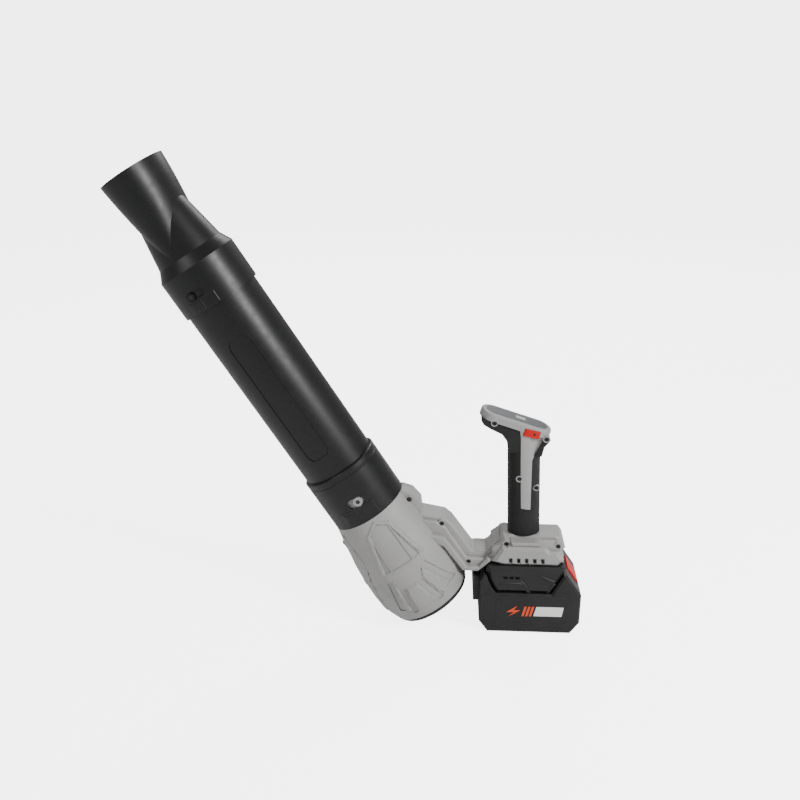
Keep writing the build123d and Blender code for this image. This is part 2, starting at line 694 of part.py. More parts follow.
with BuildPart() as controller_heatsink:
    with BuildSketch(Plane.XY.offset(board_low + 3.6)):
        with Locations((0, 0)):
            Rectangle(24, 22)
    extrude(amount=1.6)
    with BuildSketch(Plane.XY.offset(board_low + 5.2)):
        with GridLocations(0, 4, 1, 5):
            Rectangle(24, 1.2)
    extrude(amount=4)
save(controller_heatsink.part, "controller_heatsink")

blade_places = [(-24.0, y) for y in (-12.0, -4.0, 4.0, 12.0)]
with BuildPart() as terminal_block:
    with BuildSketch(Plane.YZ.offset(-41.3)):
        with Locations((0, 87.6)):
            RectangleRounded(40.6, 6.4, 0.6)
    extrude(amount=9.8)
save(terminal_block.part, "terminal_block")
with BuildPart() as terminal_blades:
    with BuildSketch(Plane.XY.offset(85.8)):
        with Locations(*blade_places):
            Rectangle(14.9, 0.8)
    extrude(amount=3.6)
save(terminal_blades.part, "terminal_blades")


with BuildPart() as motor_leads:
    for y in (-lead_pitch, 0.0, lead_pitch):
        add(lead([(x, y, z) for x, _, z in motor_route], 1.1))
save(motor_leads.part, "motor_leads")

with BuildPart() as switch_leads:
    for y in (-1.6, 1.6):
        add(lead([(-8.5, y, 207.4), (-10.6, y, 180), (-9.6, y, 140), (-9.0, y, 116), (-18.5, y, 104.5),
                  (-20, y, 96.1)], 0.8))
save(switch_leads.part, "switch_leads")

with BuildPart() as battery_leads:
    for y in (-12.0, 12.0):
        add(lead([(-36, y, 90.9), (-34.5, y, 95.2), (-30, y, 97.4), (-22.3, y, 97.6)], 1.2))
save(battery_leads.part, "battery_leads")

# ---------------------------------------------------------------- battery
case_outline = [(-47, 0), (47, 0), (57, 14), (57, 50), (40, 75), (36.5, 75), (23.5, battery_seam_z),
                (-57, battery_seam_z), (-57, 14)]
case_horn = [(-57, 46), (-38.6, 46), (-38.6, battery_seam_z), (-42.7, 56.1), (-47.7, 66.1), (-49.8, 73.5),
             (-52.8, 73.5), (-57, 66)]
lid_outline = [(-38.5, battery_seam_z), (23.5, battery_seam_z), (36.2, 75), (38, battery_top_z),
               (-47, battery_top_z), (-50.5, 78.5), (-47.5, 66), (-42.5, 56)]
case_hollow = [(-46, wall), (46, wall), (54.4, 15), (54.4, 48), (-54.4, 48), (-54.4, 15)]
latch_half_width = 14.0
slope = Vector(17, 0, -25).normalized()
slope_out = Vector(25, 0, 17).normalized()


def on_slope(along, out):
    """A point (x, z) measured down the battery's slanted rear face and outwards from it."""
    point = Vector(40, 0, 75) + slope * along + slope_out * out
    return (point.X, point.Z)


latch_outline = [on_slope(3.0, 1.6), on_slope(25.0, 1.6), on_slope(25.0, -5.0), on_slope(3.0, -5.0)]
latch_pocket = [on_slope(2.5, 8), on_slope(27.8, 8), on_slope(27.8, -7.6), on_slope(2.5, -7.6)]
spring_x, spring_low, spring_high = 45.0, 48.6, 55.2
pack_screw_places = [(-41, 29), (41, 29), (-41, -29), (41, -29)]

with BuildPart() as battery_lower_case:
    extrude(outline(case_outline, Plane.XZ), amount=battery_half_width, both=True)
    for face_group in (0, -1):
        chamfer(battery_lower_case.faces().group_by(Axis.Y)[face_group].edges(), 2.2)
    add(bevelled(case_horn, battery_half_width - 0.3, 1.0))
    # bumper across the front
    with BuildSketch(Plane.YZ.offset(-64)):
        with Locations((0, 51.5)):
            RectangleRounded(60, 31, 3)
    extrude(amount=7.5)
    add(prism(case_hollow, battery_half_width - wall), mode=Mode.SUBTRACT)
    add(prism(latch_pocket, latch_half_width + gap), mode=Mode.SUBTRACT)
    # the floor of the latch pocket, with the chamber of the spring
    add(prism([(38, 46.9), (38, spring_low), (54.4, spring_low), (54.4, 46.9)], 20))
    add(prism([(40.4, spring_low), (40.4, 63), (50, 63), (50, spring_low)], 4.4), mode=Mode.SUBTRACT)
    with BuildSketch(Plane.XY):
        with Locations(*pack_screw_places):
            Circle(screw_head_r + 0.2)
    extrude(amount=1.9, mode=Mode.SUBTRACT)
save(battery_lower_case.part, "battery_lower_case")

lid_hollow = [(-36, 40), (19, 40), (31, 72), (31, 80), (-44, 80), (-44, 68), (-38, 57)]
with BuildPart() as battery_upper_case:
    add(bevelled(lid_outline, battery_half_width - 1.6, 4.6))
    add(prism([(rail_front_x, 80), (rail_front_x, rail_top_z), (rail_rear_x, rail_top_z), (rail_rear_x, 80)],
              rail_head))
    add(prism([(-60, battery_top_z), (-60, rail_neck_z), (60, rail_neck_z), (60, battery_top_z)], 40)
        - prism([(-60, 80), (-60, 95), (60, 95), (60, 80)], rail_neck), mode=Mode.SUBTRACT)
    add(inset_prism(lid_hollow, 0, battery_half_width - 8), mode=Mode.SUBTRACT)
    # slots that the tool's blades slide into
    for x, y in blade_places:
        add(prism([(-40, 85), (-40, 89.8), (-15.5, 89.8), (-15.5, 85)], 0.8, Plane.XZ.offset(-y)),
            mode=Mode.SUBTRACT)
    # three windows of the charge lamps on the left cheek
    with BuildSketch(Plane.XZ.offset(33.5)):
        with Locations((-22, 70.8)):
            with GridLocations(6.6, 0, 3, 1):
                Rectangle(4.8, 3.4)
    extrude(amount=5, mode=Mode.SUBTRACT)
save(battery_upper_case.part, "battery_upper_case")

cell_r, cell_length = 9.1, 65.0
cell_rows = (12.6, 32.0)
cell_columns = 5
cell_pitch = 19.6
with BuildPart() as battery_cells:
    for row_z in cell_rows:
        with BuildSketch(Plane.XZ.offset(-cell_length / 2)):
            with Locations((0, row_z)):
                with GridLocations(cell_pitch, 0, cell_columns, 1):
                    Circle(cell_r)
        extrude(amount=cell_length)
save(battery_cells.part, "battery_cells")

with BuildPart() as cell_holder:
    for end_y in (-26, 20):
        with BuildSketch(Plane.XZ.offset(end_y)):
            with Locations((0, 23.7)):
                RectangleRounded(cell_pitch * cell_columns + 1, 38.0, 8)
            for row_z in cell_rows:
                with Locations((0, row_z)):
                    with GridLocations(cell_pitch, 0, cell_columns, 1):
                        Circle(cell_r + 0.05, mode=Mode.SUBTRACT)
        extrude(amount=6)
    for x in (-45, 45):
        with BuildSketch(Plane.XY.offset(42.75)):
            with Locations((x, 0)):
                Rectangle(8, 52)
        extrude(amount=1.6)
save(cell_holder.part, "cell_holder")

with BuildPart() as charge_board:
    with BuildSketch(Plane.XY.offset(54)):
        with Locations((-10, 0)):
            Rectangle(54, 48)
    extrude(amount=1.6)
    with BuildSketch(Plane.XY.offset(55.6)):
        with Locations((-10, 6)):
            with GridLocations(10, 14, 4, 2):
                Rectangle(6, 5)
    extrude(amount=2.4)
save(charge_board.part, "charge_board")

with BuildPart() as pack_terminals:
    for x, y in blade_places:
        for side in (-1, 1):
            add(prism([(-26, 85.2), (-26, 89.6), (-17, 89.6), (-17, 85.2)], 0.15,
                      Plane.XZ.offset(-y - side * 0.62)))
save(pack_terminals.part, "pack_terminals")

with BuildPart() as pack_screws:
    with BuildSketch(Plane.XY.offset(0.4)):
        with Locations(*pack_screw_places):
            Circle(screw_head_r)
            RegularPolygon(1.3, 6, mode=Mode.SUBTRACT)
    extrude(amount=1.45)
save(pack_screws.part, "pack_screws")

with BuildPart() as latch_button:
    add(prism(latch_outline, latch_half_width))
    for face_group in (0, -1):
        chamfer(latch_button.faces().group_by(Axis.Y)[face_group].edges(), 0.8)
    # the flat that the spring pushes on
    add(prism([(41.5, spring_high), (48.5, spring_high), (48.5, 57), (41.5, 64)], 4))
    for along in (8.5, 12.5, 16.5):
        notch = [on_slope(along, 3), on_slope(along + 1.4, 3), on_slope(along + 0.7, 0.8)]
        add(prism(notch, latch_half_width - 3), mode=Mode.SUBTRACT)
save(latch_button.part, "latch_button")

with BuildPart() as latch_spring:
    with BuildLine():
        Helix(pitch=1.45, height=spring_high - spring_low - 0.9, radius=2.6,
              center=(spring_x, 0, spring_low + 0.45))
    start = Plane(origin=(spring_x + 2.6, 0, spring_low + 0.45), z_dir=(0, 1, 0))
    with BuildSketch(start):
        Circle(0.35)
    sweep()
save(latch_spring.part, "latch_spring")

with BuildPart() as side_badge:
    with BuildSketch(Plane.XZ.offset(battery_half_width + 0.02)):
        with Locations((20.5, 29)):
            with BuildLine():
                Polyline((7.5, 35), (38, 35), (36.2, 23), (4.5, 23), close=True)
            make_face()
    extrude(amount=0.35)
save(mirrored_pair(side_badge.part), "side_badges")

with BuildPart() as side_mark:
    with BuildSketch(Plane.XZ.offset(battery_half_width + 0.02)):
        with BuildLine():
            Polyline((-14, 36), (-26, 27.5), (-17.5, 27.5), (-24, 21.5), (-10.5, 30), (-18, 30), close=True)
        make_face()
        for index in range(3):
            x = -7.5 + 4.2 * index
            with BuildLine():
                Polyline((x + 1.6, 35), (x + 4.2, 35), (x + 1.0, 22.5), (x - 1.6, 22.5), close=True)
            make_face()
    extrude(amount=0.35)
save(mirrored_pair(side_mark.part), "side_marks")
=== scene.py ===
# %% [markdown]
# # A cordless leaf blower
# The working parts were made in CAD and packed as a frame of named pieces that ride on named bodies.
# This lesson loads that frame, gives every piece a finish made from procedural nodes, and adds the small
# moulded details that catch the light. Everything is in metres, in the same place as the CAD.

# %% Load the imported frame
import json
from math import cos, pi, radians, sin, sqrt

import bmesh
import bpy
from mathutils import Matrix, Vector


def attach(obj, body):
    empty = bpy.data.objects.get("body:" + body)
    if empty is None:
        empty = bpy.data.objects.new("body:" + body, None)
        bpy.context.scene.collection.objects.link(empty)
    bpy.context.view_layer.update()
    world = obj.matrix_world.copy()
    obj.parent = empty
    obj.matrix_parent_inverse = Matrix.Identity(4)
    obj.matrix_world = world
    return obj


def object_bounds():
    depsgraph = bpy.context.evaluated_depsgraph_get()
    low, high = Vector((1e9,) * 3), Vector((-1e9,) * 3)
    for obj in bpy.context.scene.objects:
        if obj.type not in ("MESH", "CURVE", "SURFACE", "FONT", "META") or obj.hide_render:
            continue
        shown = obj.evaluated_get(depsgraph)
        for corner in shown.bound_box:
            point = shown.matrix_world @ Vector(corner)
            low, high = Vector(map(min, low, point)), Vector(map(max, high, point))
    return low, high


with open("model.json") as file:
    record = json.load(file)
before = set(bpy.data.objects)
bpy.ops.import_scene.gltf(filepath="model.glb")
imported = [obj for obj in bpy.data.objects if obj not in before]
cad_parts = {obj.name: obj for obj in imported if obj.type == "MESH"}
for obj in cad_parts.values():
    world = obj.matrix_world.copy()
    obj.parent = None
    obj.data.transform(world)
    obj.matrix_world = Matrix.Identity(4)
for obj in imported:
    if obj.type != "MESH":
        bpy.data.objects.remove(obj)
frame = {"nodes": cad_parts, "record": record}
cad_low, cad_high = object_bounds()
nodes = frame["nodes"]
print("nodes:", len(nodes), "box:", [round(v, 3) for v in (*cad_low, *cad_high)])

# %% [markdown]
# ## Places to work from
# The barrel, the tube and the nozzle share one slanted axis, so it helps to have a frame of axes that
# leans with them: x runs across the tube, y to the tool's right, z along the blowing air. A matrix lets a
# piece be drawn upright and then be set in its place.

# %% Frames of axes
MM = 0.001
TUBE_TILT = radians(32.5)


def axes_frame(tilt, origin):
    """Upright axes leant about +Y by an angle, with their origin in millimetres."""
    return Matrix.Translation(Vector(origin) * MM) @ Matrix.Rotation(tilt, 4, "Y")


TUBE = axes_frame(-TUBE_TILT, (-184, 0, 140))
BODY = axes_frame(0, (0, 0, 0))
print("tube axis:", [round(v, 3) for v in TUBE.col[2][:3]])

# %% [markdown]
# ## Finishes
# Moulded plastic is never one flat colour. The mould leaves a fine spark-eroded grain, the pigment drifts
# a little over a hand's width, and handling polishes some patches. Three noises at those three scales do
# it: the finest goes to the bump, the middle one to the roughness, the broadest to the colour. They read
# Object coordinates, so the pattern has its real size and stays put when the piece moves.

# %% A recipe for moulded and machined finishes
COLOUR_WAVES, PATCH_WAVES = 26, 120
ROUGH_SWING = 0.025


def link(tree, start, end):
    """Joins an output of one node to an input of another."""
    tree.links.new(start, end)


def noise(tree, coords, scale, detail=3.0, stretch=None):
    """A noise pattern of a real size: scale is in waves to the metre."""
    if stretch:
        turn = tree.nodes.new("ShaderNodeMapping")
        turn.inputs["Scale"].default_value = stretch
        link(tree, coords, turn.inputs["Vector"])
        coords = turn.outputs["Vector"]
    node = tree.nodes.new("ShaderNodeTexNoise")
    node.inputs["Scale"].default_value = scale
    node.inputs["Detail"].default_value = detail
    link(tree, coords, node.inputs["Vector"])
    return node.outputs["Fac"]


def ramp(tree, fac, low, high, start=0.35, end=0.65):
    """Turns a pattern into values or colours between two ends."""
    node = tree.nodes.new("ShaderNodeValToRGB")
    node.color_ramp.elements[0].position = start
    node.color_ramp.elements[1].position = end
    node.color_ramp.elements[0].color = (*low, 1) if len(low) == 3 else low
    node.color_ramp.elements[1].color = (*high, 1) if len(high) == 3 else high
    link(tree, fac, node.inputs["Fac"])
    return node.outputs["Color"]


def finish(name, colour, rough, drift=0.06, grain=2600, depth=0.00002, strength=0.35, metal=0.0,
           stretch=None, specular=0.5, coat=0.0):
    """A material with colour drift, worn roughness and a fine surface grain."""
    material = bpy.data.materials.new(name)
    material.use_nodes = True
    tree = material.node_tree
    shader = tree.nodes["Principled BSDF"]
    coords = tree.nodes.new("ShaderNodeTexCoord").outputs["Object"]
    dark = tuple(c * (1 - drift) for c in colour)
    pale = tuple(min(1, c * (1 + drift)) for c in colour)
    broad = noise(tree, coords, COLOUR_WAVES, 4.0)
    link(tree, ramp(tree, broad, dark, pale, 0.3, 0.7), shader.inputs["Base Color"])
    patches = noise(tree, coords, PATCH_WAVES, 5.0, stretch)
    low, high = max(0.02, rough - ROUGH_SWING), min(1, rough + ROUGH_SWING)
    link(tree, ramp(tree, patches, (low,) * 3, (high,) * 3), shader.inputs["Roughness"])
    bump = tree.nodes.new("ShaderNodeBump")
    bump.inputs["Strength"].default_value = strength
    bump.inputs["Distance"].default_value = depth
    link(tree, noise(tree, coords, grain, 2.0, stretch), bump.inputs["Height"])
    link(tree, bump.outputs["Normal"], shader.inputs["Normal"])
    shader.inputs["Metallic"].default_value = metal
    shader.inputs["Specular IOR Level"].default_value = specular
    shader.inputs["Coat Weight"].default_value = coat
    shader.inputs["Coat Roughness"].default_value = 0.25
    return material


print("waves to the metre:", COLOUR_WAVES, "in colour and", PATCH_WAVES, "in roughness")

# %% [markdown]
# ## One finish for each material slot
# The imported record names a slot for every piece, so one table of finishes dresses them all. A black plastic
# under strong lamps has to be darker than it seems, with little specular, or it turns grey.

# %% Every finish on the tool
FINISHES = {
    "housing": finish("grey_housing_plastic", (0.285, 0.28, 0.276), 0.50, 0.05, 2200, 0.00003, 0.30,
                      specular=0.35),
    "tube_black": finish("black_tube_plastic", (0.0058, 0.0058, 0.0062), 0.40, 0.10, 2400, 0.00003, 0.30,
                         specular=0.32),
    "grip_rubber": finish("black_grip_rubber", (0.0085, 0.0085, 0.009), 0.60, 0.25, 1500, 0.00008, 0.6,
                          specular=0.28),
    "bezel": finish("grey_bezel_plastic", (0.42, 0.42, 0.42), 0.44, 0.04, 2200, 0.00002, 0.3),
    "badge": finish("smoked_panel_plastic", (0.085, 0.088, 0.093), 0.33, 0.12, 2600, 0.00001, 0.25),
    "button_red": finish("red_button_plastic", (0.50, 0.002, 0.001), 0.45, 0.08, 2200, 0.00002, 0.3,
                         specular=0.3),
    "battery_black": finish("black_battery_plastic", (0.011, 0.011, 0.0115), 0.48, 0.2, 1700, 0.00005, 0.5,
                            specular=0.30),
    "guard": finish("dark_guard_plastic", (0.012, 0.012, 0.013), 0.5, 0.2, 2200, 0.00003, 0.3,
                    specular=0.3),
    "mark_orange": finish("orange_print", (0.62, 0.055, 0.001), 0.45, 0.07, 3000, 0.00001, 0.2),
    "mark_white": finish("pale_print", (0.72, 0.72, 0.70), 0.45, 0.04, 3000, 0.00001, 0.2),
    "fan": finish("glass_filled_fan_plastic", (0.05, 0.05, 0.054), 0.5, 0.2, 1600, 0.00004, 0.4),
    "steel": finish("bright_steel", (0.55, 0.55, 0.56), 0.3, 0.06, 900, 0.00001, 0.2, 1.0, (1, 1, 12)),
    "dark_steel": finish("blackened_screw_steel", (0.045, 0.045, 0.048), 0.36, 0.2, 1800, 0.00001, 0.3, 0.8),
    "copper": finish("enamelled_copper", (0.62, 0.26, 0.10), 0.3, 0.15, 1400, 0.00003, 0.4, 1.0, (1, 1, 20)),
    "brass": finish("contact_brass", (0.72, 0.55, 0.25), 0.3, 0.08, 1800, 0.00001, 0.2, 1.0),
    "board": finish("green_circuit_board", (0.02, 0.12, 0.05), 0.4, 0.25, 900, 0.00003, 0.4),
    "aluminium": finish("sawn_aluminium", (0.66, 0.67, 0.68), 0.36, 0.05, 1200, 0.00002, 0.3, 1.0, (1, 16, 1)),
    "lead_black": finish("lead_insulation", (0.02, 0.02, 0.02), 0.55, 0.2, 1500, 0.00002, 0.3),
    "cell": finish("cell_wrap", (0.03, 0.16, 0.38), 0.3, 0.1, 900, 0.00002, 0.2, coat=0.3),
    "holder": finish("dark_holder_plastic", (0.06, 0.06, 0.062), 0.5, 0.15, 2000, 0.00003, 0.3),
}
SLOT_OF = {row["node"]: row["material_slot"] for row in frame["record"]["subparts"]}
for name, piece in nodes.items():
    piece.data.materials.clear()
    piece.data.materials.append(FINISHES[SLOT_OF[name]])
print("finishes:", len(FINISHES))

# %% [markdown]
# ## Low mouldings that follow a surface
# Ribs, frames and panels stand about a millimetre off the plastic, with sloping sides so that the mould can
# open. Each is drawn flat as a polygon, cut into narrow strips, thickened, and given its sloping rim by an
# inset. Only then is it bent onto its host: a short rule says how deep the host lies at each place. The
# strips are what lets a flat polygon follow a round barrel.

# %% A moulding drawn flat and bent onto its host
WIDE_PITCH = 40  # for flat hosts, where a moulding needs hardly any strips


def cut_strips(bm, axis, low, high, pitch):
    """Cuts the whole mesh by evenly spaced planes square to one axis."""
    count = int((high - low) / pitch)
    for index in range(1, count + 1):
        place = Vector((0, 0, 0))
        place[axis] = low + index * (high - low) / (count + 1)
        normal = Vector((0, 0, 0))
        normal[axis] = 1
        geometry = bm.verts[:] + bm.edges[:] + bm.faces[:]
        bmesh.ops.bisect_plane(bm, geom=geometry, plane_co=place, plane_no=normal, dist=1e-7)


def flat_moulding(outlines, rise, soft, sink=0.4, pitch=3.0):
    """A closed low plate with sloping rims, in millimetres, standing towards -Y from y = 0."""
    bm = bmesh.new()
    for points in outlines:
        face = bm.faces.new([bm.verts.new((x, 0, z)) for x, z in points])
        face.normal_update()
        if face.normal.y > 0:
            face.normal_flip()
    bmesh.ops.remove_doubles(bm, verts=bm.verts, dist=0.01)
    for axis in (0, 2):
        reach = [v.co[axis] for v in bm.verts]
        cut_strips(bm, axis, min(reach), max(reach), pitch)
    lower = bm.faces[:]
    upper = bmesh.ops.extrude_face_region(bm, geom=lower, use_keep_orig=True)["geom"]
    top = [item for item in upper if isinstance(item, bmesh.types.BMFace)]
    bmesh.ops.translate(bm, verts=[v for v in upper if isinstance(v, bmesh.types.BMVert)], vec=(0, -0.001, 0))
    bmesh.ops.translate(bm, verts=list({v for f in lower for v in f.verts}), vec=(0, sink, 0))
    for face in top:
        face.normal_update()
        if face.normal.y > 0:
            face.normal_flip()
    bmesh.ops.inset_region(bm, faces=top, thickness=soft, depth=rise, use_even_offset=True)
    bmesh.ops.recalc_face_normals(bm, faces=bm.faces)
    return bm


def set_piece(name, bm, body, slot, place=BODY, smooth=True):
    """Turns a mesh drawn in millimetres into a finished piece that rides on a body."""
    bm.transform(place @ Matrix.Scale(MM, 4))
    bmesh.ops.recalc_face_normals(bm, faces=bm.faces)
    mesh = bpy.data.meshes.new(name)
    bm.to_mesh(mesh)
    bm.free()
    for face in mesh.polygons:
        face.use_smooth = smooth
    if smooth:
        mesh.set_sharp_from_angle(angle=radians(32))
    piece = bpy.data.objects.new(name, mesh)
    bpy.context.collection.objects.link(piece)
    mesh.materials.append(FINISHES[slot])
    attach(piece, body)
    print(name, len(mesh.polygons), "faces on", body)
    return piece


def bent(bm, depth_rule, side=-1):
    """Lays a flat moulding on its host; side is -1 for the tool's left and 1 for its right."""
    for vertex in bm.verts:
        x, level, z = vertex.co.x, -vertex.co.y, vertex.co.z
        vertex.co.y = side * depth_rule(x, z, level)
    return bm


def moulding(name, outlines, depth_rule, rise, soft, body, slot, place=BODY, pitch=3.0, both=True, sink=0.4):
    """One moulding on the left side, and its twin on the right."""
    whole = bent(flat_moulding(outlines, rise, soft, sink, pitch), depth_rule)
    if both:
        twin = bent(flat_moulding(outlines, rise, soft, sink, pitch), depth_rule, 1)
        holder = bpy.data.meshes.new(name + "_twin")
        twin.to_mesh(holder)
        twin.free()
        whole.from_mesh(holder)
        bpy.data.meshes.remove(holder)
    return set_piece(name, whole, body, slot, place)


def round_host(radius_rule):
    """The depth rule of a host turned round the tube's axis."""
    return lambda x, z, level: sqrt(max(1.0, (radius_rule(z) + level) ** 2 - x * x))


def flat_host(depth):
    """The depth rule of a flat side wall."""
    return lambda x, z, level: depth + level


# %% [markdown]
# ## Relief on the fan barrel
# The barrel is stiffened and dressed by a raised frame round a sunken hexagonal panel, and by three petals
# that fan out below it. The CAD shells hold the sunken parts; the raised parts go on top of them here.

# %% The barrel's outside and its raised frame
BARREL = [(44.0, 0), (45.8, -10), (49.2, -31), (52.4, -50), (54.5, -71), (55.3, -92), (54.9, -106),
          (52.4, -119), (48.2, -131.5)]


def barrel_radius(station):
    """The barrel's radius at a station along the tube's axis."""
    for (r0, s0), (r1, s1) in zip(BARREL, BARREL[1:]):
        if s1 <= station <= s0:
            return r0 + (r1 - r0) * (station - s0) / (s1 - s0)
    return BARREL[0][0] if station > 0 else BARREL[-1][0]


top, right_shoulder, right_foot = (7.4, -2.6), (22.4, -11.6), (36.0, -62.5)
right_foot_in, right_in, top_in = (31.8, -62.5), (19.4, -15.4), (8.2, -7.8)
left_in, left_foot_in, left_foot, left_shoulder = (-4.4, -16.2), (-14.2, -62.5), (-18.6, -62.5), (-8.8, -15.4)
frame_quads = [[top, right_shoulder, right_in, top_in], [right_shoulder, right_foot, right_foot_in, right_in],
               [top, top_in, left_in, left_shoulder], [left_shoulder, left_in, left_foot_in, left_foot]]
on_barrel = round_host(barrel_radius)
moulding("barrel_frame", frame_quads, on_barrel, 1.0, 1.1, "housing", "housing", TUBE)
petals = [[(19.5, -84), (24.5, -75), (40, -113), (27, -119)], [(-2.5, -87), (11, -87), (19, -119), (-6, -120)],
          [(-10.5, -85), (-12.0, -75), (-19.5, -114), (-13.5, -120)]]
for index, petal in enumerate(petals):
    moulding(f"barrel_petal_{index + 1}", [petal], on_barrel, 1.2, 1.7, "housing", "housing", TUBE)
shoulder = [(-18.6, -62.5), (-14.2, -62.5), (31.8, -62.5), (36.0, -62.5), (31.5, -70.5), (-15.8, -70.5)]
moulding("barrel_belt", [shoulder], on_barrel, 0.7, 1.6, "housing", "housing", TUBE)
flank = [(-36, -6), (-34.5, -13), (-30, -48), (-37, -69), (-43, -108), (-46.5, -116), (-50.5, -90), (-50, -60),
         (-46.5, -34), (-42.5, -10)]
moulding("barrel_flank", [flank], on_barrel, 0.8, 1.4, "housing", "housing", TUBE)
print("barrel's widest radius:", max(radius for radius, station in BARREL), "mm")

# %% [markdown]
# ## Fairing round the upper barrel screw
# The screw nearest the arm sits in a lug. On the real barrel the lug fades into the arm, so a bevelled block
# fills the corner between the two.

# %% The fairing block
def bevelled_block(points, half_width, bevel, segments=2):
    """A side outline carried to both sides, with all its edges rounded; millimetres."""
    bm = bmesh.new()
    face = bm.faces.new([bm.verts.new((x, -half_width, z)) for x, z in points])
    grown = bmesh.ops.extrude_face_region(bm, geom=[face], use_keep_orig=True)["geom"]
    bmesh.ops.translate(bm, verts=[v for v in grown if isinstance(v, bmesh.types.BMVert)],
                        vec=(0, 2 * half_width, 0))
    bmesh.ops.recalc_face_normals(bm, faces=bm.faces)
    bmesh.ops.bevel(bm, geom=bm.edges[:], offset=bevel, segments=segments, affect="EDGES", profile=0.5,
                    material=-1)
    return bm


FAIRING_HALF_WIDTH = 11.8
fairing = [(38, 0.2), (44.6, 0.2), (52.6, -9.5), (55, -24), (50, -34), (38, -34)]
set_piece("screw_fairing", bevelled_block(fairing, FAIRING_HALF_WIDTH, 1.2), "housing", "housing", TUBE)

# %% [markdown]
# ## Saddle on the arm, and the mark on the slide button
# The top of the arm runs up into the foot in one smooth sweep. A thin bevelled strip, drawn from the side
# and carried across, gives that sweep its own soft-edged skin, and covers a gap in the shells under it. The
# slide button gets three fine ridges for the thumb and a small pointer.

# %% The saddle strip and the mark on the slide button
SADDLE_HALF_WIDTH = 14.9
saddle = [(-63, 92.3), (-49.9, 92.0), (-35.2, 108.3), (-37.6, 104.4), (-49.4, 89.2), (-63, 89.6)]
set_piece("arm_saddle", bevelled_block(saddle, SADDLE_HALF_WIDTH, 0.7), "housing", "housing")
button_wall = flat_host(16.7)
moulding("button_mark", [[(-4.4, 238.6), (-1.4, 236.4), (-4.4, 234.6)]], button_wall, 0.2, 0.12, "switch",
         "guard", pitch=WIDE_PITCH, both=False)
ridges = [[(-12.5, 237.2), (-11.7, 237.4), (-12.6, 241.2), (-13.4, 241.0)],
          [(-10.5, 236.8), (-9.7, 237.0), (-10.6, 240.8), (-11.4, 240.6)],
          [(-8.5, 236.4), (-7.7, 236.6), (-8.6, 240.4), (-9.4, 240.2)]]
moulding("button_ridges", ridges, button_wall, 0.3, 0.2, "switch", "button_red", pitch=WIDE_PITCH, both=False)

# %% [markdown]
# ## Mouths of the barrel's screw wells
# A screw well is deep and narrow, so its shade makes a dark round mouth. On the steep flank the shells have no
# open well, so a thin dark disc that lies on the surface is painted shade for each mouth.

# %% Painted shade: dark discs over the barrel's screw wells
def disc_outline(across, station, radius, steps=20):
    """A round outline, drawn flat."""
    return [(across + radius * cos(2 * pi * k / steps), station + radius * sin(2 * pi * k / steps))
            for k in range(steps)]


WELL_RADIUS = 2.8
FLANK_RISE = 0.9
well_places = [(-44.4, -22), (-49.4, -72), (-48.8, -114)]
on_flank = round_host(lambda station: barrel_radius(station) + FLANK_RISE)
# Dark discs of painted shade, each standing for the shade in a screw well's mouth.
moulding("barrel_screw_well_shades", [disc_outline(across, station, WELL_RADIUS) for across, station in well_places],
         on_flank, 0.05, 0.1, "housing", "dark_steel", TUBE, pitch=1.5)
# The same painted shade for the screw well beside the fairing.
moulding("fairing_screw_well_shade", [disc_outline(46.5, -13, WELL_RADIUS)], flat_host(13.1), 0.05, 0.1,
         "housing", "dark_steel", TUBE, pitch=WIDE_PITCH)

# %% [markdown]
# ## Panels on the cuff and the collar
# Where each bayonet peg locks, the black plastic is thicker: a low rectangular pad reaches from the slot to
# the open end, with a second, smaller pad on it.

# %% Pads at both bayonet locks
CUFF_RADIUS, COLLAR_RADIUS, PAD_RISE = 44.1, 43.7, 0.5
cuff = round_host(lambda station: CUFF_RADIUS)
collar = round_host(lambda station: COLLAR_RADIUS)
moulding("cuff_pad", [[(-21, 5.2), (20.5, 1.6), (21, 19.2), (-7.5, 20.4), (-21, 20.4)]], cuff, PAD_RISE, 0.6,
         "tube", "tube_black", TUBE)
moulding("cuff_pad_top", [[(-19, 7.2), (0.6, 3.6), (1.0, 15.0), (-18.6, 17.6)]],
         round_host(lambda station: CUFF_RADIUS + PAD_RISE), 0.35, 0.5, "tube", "tube_black", TUBE)
moulding("collar_pad", [[(-22, 285.5), (12, 285.5), (12, 297.5), (-22, 297.5)]], collar, PAD_RISE, 0.6,
         "nozzle", "tube_black", TUBE)
moulding("collar_pad_top", [[(-19, 287.5), (-4, 287.5), (-4, 295.5), (-19, 295.5)]],
         round_host(lambda station: COLLAR_RADIUS + PAD_RISE), 0.35, 0.5, "nozzle", "tube_black", TUBE)

# %% [markdown]
# ## Painted shade in the hexagon sockets
# The lock pegs are turned by a hexagon key. A six-sided dark plate of painted shade in the mouth of each
# socket shows the shape from far away, where the socket's own shade is too faint.

# %% Plates of painted shade in the hexagon sockets
SOCKET_LIFT = 0.04


def socket_shade_plates(name, across, station, radius, peg_reach, body):
    """A thin six-sided plate of painted shade in the mouth of each lock peg's socket, left and right."""
    bm = bmesh.new()
    depth = sqrt(peg_reach ** 2 - across ** 2) + SOCKET_LIFT
    for side in (-1, 1):
        place = Matrix.Translation((-side * across, side * depth, station)) @ Matrix.Rotation(pi / 2, 4, "X")
        bmesh.ops.create_cone(bm, cap_ends=True, segments=6, radius1=radius, radius2=radius, depth=0.12,
                              matrix=place)
    return set_piece(name, bm, body, "dark_steel", TUBE, smooth=False)


# Dark six-sided plates of painted shade in the mouths of the peg sockets.
socket_shade_plates("tube_peg_socket_shade", 6.5, 25.4, 2.6, 44.7, "housing")
socket_shade_plates("nozzle_peg_socket_shade", -12.5, 303.0, 2.0, 44.1, "tube")

# %% [markdown]
# ## Dress of the battery
# A battery's case is split a little above its cells. The side wall carries a shallow rounded frame round
# the printed marks, a broken line under the split, and faceted panels in the upper half round the lamps.

